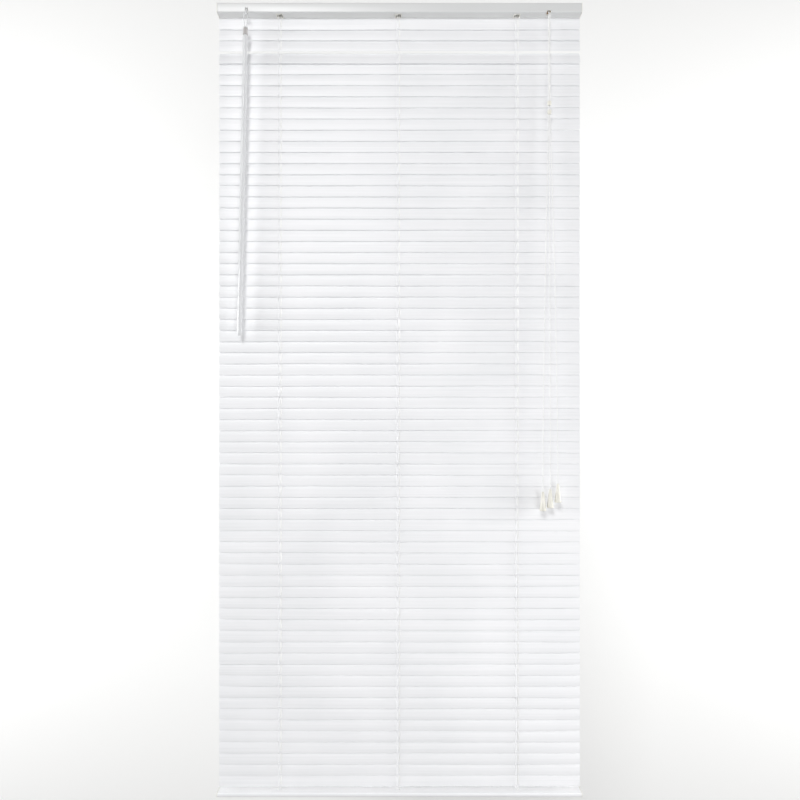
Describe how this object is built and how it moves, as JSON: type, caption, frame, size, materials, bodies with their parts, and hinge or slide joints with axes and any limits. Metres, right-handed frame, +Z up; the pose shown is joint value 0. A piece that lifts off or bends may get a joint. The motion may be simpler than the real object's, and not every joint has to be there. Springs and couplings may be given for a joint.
{
  "type": "venetian blind",
  "caption": "White venetian blind, lowered and closed: headrail with tilt and lift gear, slats on ladder cords, bottom rail, tilt wand and tasselled pull cords.",
  "frame": {"origin": "middle of the headrail's flat back wall, where it meets the wall or its brackets", "axes": "+Z up, +Y out of the back towards the window, -Y into the room, +X to the right as seen from the room"},
  "size_m": [0.7494, 0.041, 1.6275],
  "materials": {
    "enamel": "white baked enamel on folded steel, satin",
    "vinyl": "white rigid vinyl, satin",
    "nylon": "white moulded nylon",
    "acrylic": "clear to milky acrylic",
    "sleeve": "grey soft vinyl",
    "steel": "zinc plated",
    "brass": "plain, slightly dull",
    "cream": "translucent cream polyethylene",
    "cord": "white braided polyester"
  },
  "bodies": {
    "headrail": {"headrail": "enamel", "end_cap_left": "nylon", "end_cap_right": "nylon", "cradle_left": "nylon", "cradle_centre": "nylon", "cradle_right": "nylon", "tilter_housing": "nylon", "cord_lock_housing": "cream", "cord_lock_pin": "brass", "lift_cord_left": "cord", "lift_cord_centre": "cord", "lift_cord_right": "cord", "pull_cord_left": "cord", "pull_cord_centre": "cord", "pull_cord_right": "cord", "cord_stop_upper": "cream", "cord_stop_lower": "cream", "tassel_left": "cream", "tassel_centre": "cream", "tassel_right": "cream", "bottom_rail": "vinyl", "rail_cap_left": "nylon", "rail_cap_right": "nylon", "rail_plug_left": "nylon", "rail_plug_centre": "nylon", "rail_plug_right": "nylon"},
    "tilt_rod": {"tilt_rod": "steel", "drum_left": "nylon", "drum_centre": "nylon", "drum_right": "nylon", "tilter_gear": "nylon"},
    "tilter_worm": {"tilter_worm": "acrylic"},
    "wand_hook": {"wand_hook": "acrylic"},
    "wand": {"wand_sleeve": "sleeve", "wand": "acrylic"},
    "cord_lock_roller": {"cord_lock_roller": "brass"},
    "ladder_front": {"ladder_front_left": "cord", "ladder_front_centre": "cord", "ladder_front_right": "cord"},
    "ladder_back": {"ladder_back_left": "cord", "ladder_back_centre": "cord", "ladder_back_right": "cord"},
    "slat_01": {"slat_01": "vinyl"},
    "slat_02": {"slat_02": "vinyl"},
    "slat_03": {"slat_03": "vinyl"},
    "slat_04": {"slat_04": "vinyl"},
    "slat_05": {"slat_05": "vinyl"},
    "slat_06": {"slat_06": "vinyl"},
    "slat_07": {"slat_07": "vinyl"},
    "slat_08": {"slat_08": "vinyl"},
    "slat_09": {"slat_09": "vinyl"},
    "slat_10": {"slat_10": "vinyl"},
    "slat_11": {"slat_11": "vinyl"},
    "slat_12": {"slat_12": "vinyl"},
    "slat_13": {"slat_13": "vinyl"},
    "slat_14": {"slat_14": "vinyl"},
    "slat_15": {"slat_15": "vinyl"},
    "slat_16": {"slat_16": "vinyl"},
    "slat_17": {"slat_17": "vinyl"},
    "slat_18": {"slat_18": "vinyl"}
  },
  "joints": [
    {"name": "tilt_rod_turn", "type": "hinge", "parent": "headrail", "child": "tilt_rod", "pos_m": [0, -0.0127, 0], "axis": [-1, 0, 0], "range_deg": [0, 160]},
    {"name": "worm_turn", "type": "hinge", "parent": "headrail", "child": "tilter_worm", "pos_m": [-0.31295, -0.01954, 0.00395], "axis": [0, -0.5, -0.866], "range_deg": [0, 1440]},
    {"name": "wand_swing", "type": "hinge", "parent": "headrail", "child": "wand_hook", "pos_m": [-0.31295, -0.03154, -0.01683], "axis": [0, 1, 0], "range_deg": [-20, 20]},
    {"name": "wand_spin", "type": "hinge", "parent": "wand_hook", "child": "wand", "pos_m": [-0.31295, -0.03154, -0.01683], "axis": [-0.0209, 0, -0.9998], "range_deg": [0, 1440]},
    {"name": "cord_lock_slide", "type": "slide", "parent": "headrail", "child": "cord_lock_roller", "axis": [0, 0.7071, 0.7071], "range_m": [0, 0.003]},
    {"name": "ladder_front_rise", "type": "slide", "parent": "headrail", "child": "ladder_front", "axis": [0, 0, 1], "range_m": [0, 0.02463], "deforming": ["ladder_front_left", "ladder_front_centre", "ladder_front_right"]},
    {"name": "ladder_back_drop", "type": "slide", "parent": "ladder_front", "child": "ladder_back", "axis": [0, 0, -1], "range_m": [0, 0.04926], "deforming": ["ladder_back_left", "ladder_back_centre", "ladder_back_right"]},
    {"name": "slat_01_tilt", "type": "hinge", "parent": "headrail", "child": "slat_01", "pos_m": [0, -0.0127, -0.02581], "axis": [-1, 0, 0], "range_deg": [0, 160]},
    {"name": "slat_02_tilt", "type": "hinge", "parent": "headrail", "child": "slat_02", "pos_m": [0, -0.0127, -0.1177], "axis": [-1, 0, 0], "range_deg": [0, 160]},
    {"name": "slat_03_tilt", "type": "hinge", "parent": "headrail", "child": "slat_03", "pos_m": [0, -0.0127, -0.2096], "axis": [-1, 0, 0], "range_deg": [0, 160]},
    {"name": "slat_04_tilt", "type": "hinge", "parent": "headrail", "child": "slat_04", "pos_m": [0, -0.0127, -0.30149], "axis": [-1, 0, 0], "range_deg": [0, 160]},
    {"name": "slat_05_tilt", "type": "hinge", "parent": "headrail", "child": "slat_05", "pos_m": [0, -0.0127, -0.39338], "axis": [-1, 0, 0], "range_deg": [0, 160]},
    {"name": "slat_06_tilt", "type": "hinge", "parent": "headrail", "child": "slat_06", "pos_m": [0, -0.0127, -0.48527], "axis": [-1, 0, 0], "range_deg": [0, 160]},
    {"name": "slat_07_tilt", "type": "hinge", "parent": "headrail", "child": "slat_07", "pos_m": [0, -0.0127, -0.57717], "axis": [-1, 0, 0], "range_deg": [0, 160]},
    {"name": "slat_08_tilt", "type": "hinge", "parent": "headrail", "child": "slat_08", "pos_m": [0, -0.0127, -0.66906], "axis": [-1, 0, 0], "range_deg": [0, 160]},
    {"name": "slat_09_tilt", "type": "hinge", "parent": "headrail", "child": "slat_09", "pos_m": [0, -0.0127, -0.76095], "axis": [-1, 0, 0], "range_deg": [0, 160]},
    {"name": "slat_10_tilt", "type": "hinge", "parent": "headrail", "child": "slat_10", "pos_m": [0, -0.0127, -0.85285], "axis": [-1, 0, 0], "range_deg": [0, 160]},
    {"name": "slat_11_tilt", "type": "hinge", "parent": "headrail", "child": "slat_11", "pos_m": [0, -0.0127, -0.94474], "axis": [-1, 0, 0], "range_deg": [0, 160]},
    {"name": "slat_12_tilt", "type": "hinge", "parent": "headrail", "child": "slat_12", "pos_m": [0, -0.0127, -1.03663], "axis": [-1, 0, 0], "range_deg": [0, 160]},
    {"name": "slat_13_tilt", "type": "hinge", "parent": "headrail", "child": "slat_13", "pos_m": [0, -0.0127, -1.12853], "axis": [-1, 0, 0], "range_deg": [0, 160]},
    {"name": "slat_14_tilt", "type": "hinge", "parent": "headrail", "child": "slat_14", "pos_m": [0, -0.0127, -1.22042], "axis": [-1, 0, 0], "range_deg": [0, 160]},
    {"name": "slat_15_tilt", "type": "hinge", "parent": "headrail", "child": "slat_15", "pos_m": [0, -0.0127, -1.31231], "axis": [-1, 0, 0], "range_deg": [0, 160]},
    {"name": "slat_16_tilt", "type": "hinge", "parent": "headrail", "child": "slat_16", "pos_m": [0, -0.0127, -1.4042], "axis": [-1, 0, 0], "range_deg": [0, 160]},
    {"name": "slat_17_tilt", "type": "hinge", "parent": "headrail", "child": "slat_17", "pos_m": [0, -0.0127, -1.4961], "axis": [-1, 0, 0], "range_deg": [0, 160]},
    {"name": "slat_18_tilt", "type": "hinge", "parent": "headrail", "child": "slat_18", "pos_m": [0, -0.0127, -1.58799], "axis": [-1, 0, 0], "range_deg": [0, 160]}
  ],
  "couplings": [
    {"joint": "worm_turn", "follows": "tilt_rod_turn", "ratio": 9},
    {"joint": "wand_spin", "follows": "tilt_rod_turn", "ratio": 9},
    {"joint": "ladder_front_rise", "follows": "tilt_rod_turn", "m_per_rad": 0.0088165},
    {"joint": "ladder_back_drop", "follows": "tilt_rod_turn", "m_per_rad": 0.017633},
    {"joint": "slat_01_tilt", "follows": "tilt_rod_turn", "ratio": 1},
    {"joint": "slat_02_tilt", "follows": "tilt_rod_turn", "ratio": 1},
    {"joint": "slat_03_tilt", "follows": "tilt_rod_turn", "ratio": 1},
    {"joint": "slat_04_tilt", "follows": "tilt_rod_turn", "ratio": 1},
    {"joint": "slat_05_tilt", "follows": "tilt_rod_turn", "ratio": 1},
    {"joint": "slat_06_tilt", "follows": "tilt_rod_turn", "ratio": 1},
    {"joint": "slat_07_tilt", "follows": "tilt_rod_turn", "ratio": 1},
    {"joint": "slat_08_tilt", "follows": "tilt_rod_turn", "ratio": 1},
    {"joint": "slat_09_tilt", "follows": "tilt_rod_turn", "ratio": 1},
    {"joint": "slat_10_tilt", "follows": "tilt_rod_turn", "ratio": 1},
    {"joint": "slat_11_tilt", "follows": "tilt_rod_turn", "ratio": 1},
    {"joint": "slat_12_tilt", "follows": "tilt_rod_turn", "ratio": 1},
    {"joint": "slat_13_tilt", "follows": "tilt_rod_turn", "ratio": 1},
    {"joint": "slat_14_tilt", "follows": "tilt_rod_turn", "ratio": 1},
    {"joint": "slat_15_tilt", "follows": "tilt_rod_turn", "ratio": 1},
    {"joint": "slat_16_tilt", "follows": "tilt_rod_turn", "ratio": 1},
    {"joint": "slat_17_tilt", "follows": "tilt_rod_turn", "ratio": 1},
    {"joint": "slat_18_tilt", "follows": "tilt_rod_turn", "ratio": 1}
  ]
}
